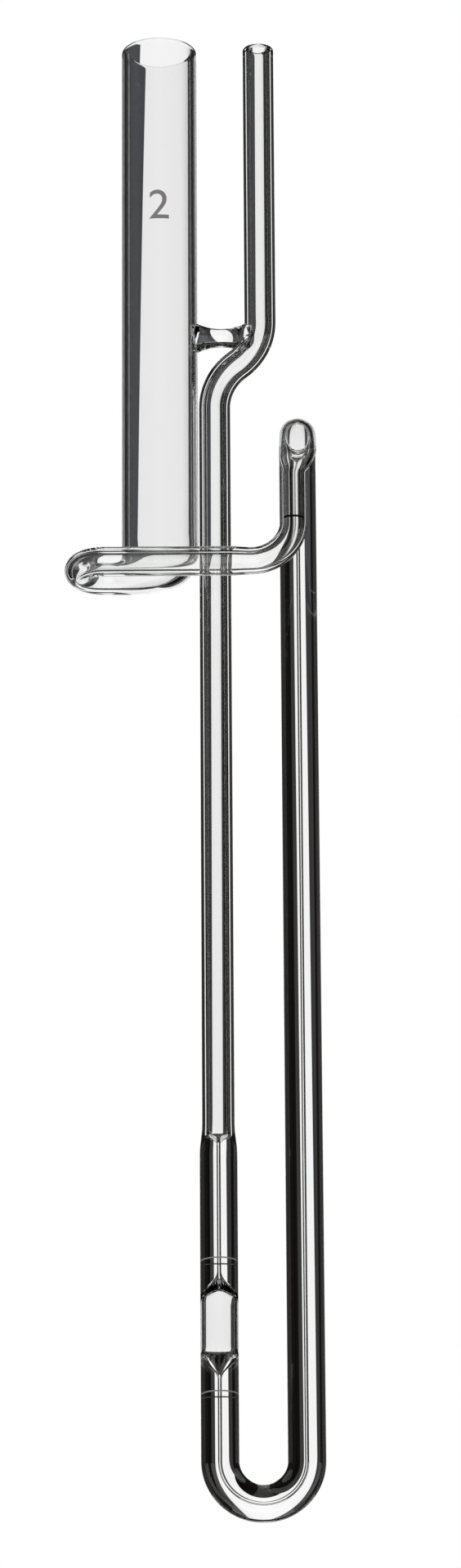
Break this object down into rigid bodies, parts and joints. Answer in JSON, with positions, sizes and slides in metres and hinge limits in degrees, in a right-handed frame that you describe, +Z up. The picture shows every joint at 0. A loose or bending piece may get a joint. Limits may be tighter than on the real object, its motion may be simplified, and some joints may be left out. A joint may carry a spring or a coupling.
{
  "type": "glass viscometer",
  "caption": "Glass cross-arm viscometer: a wide supply tube leads round a looped arm and over a siphon into a fine capillary, a U-bend with a small bulb, and a bent vent tube.",
  "frame": {"origin": "on the supply tube's axis, 30 mm below its rim, where a bath holder grips it", "axes": "+Z up the tubes, +X from the supply tube towards the capillary, +Y to the back, away from the front arm of the cross-arm"},
  "size_m": [0.0442, 0.019, 0.2725],
  "materials": {
    "clear_glass": "clear fire-polished borosilicate glass, with fine frosted rings and a fine dark fill line"
  },
  "bodies": {
    "root": {"glass_body": "clear_glass"}
  },
  "joints": []
}
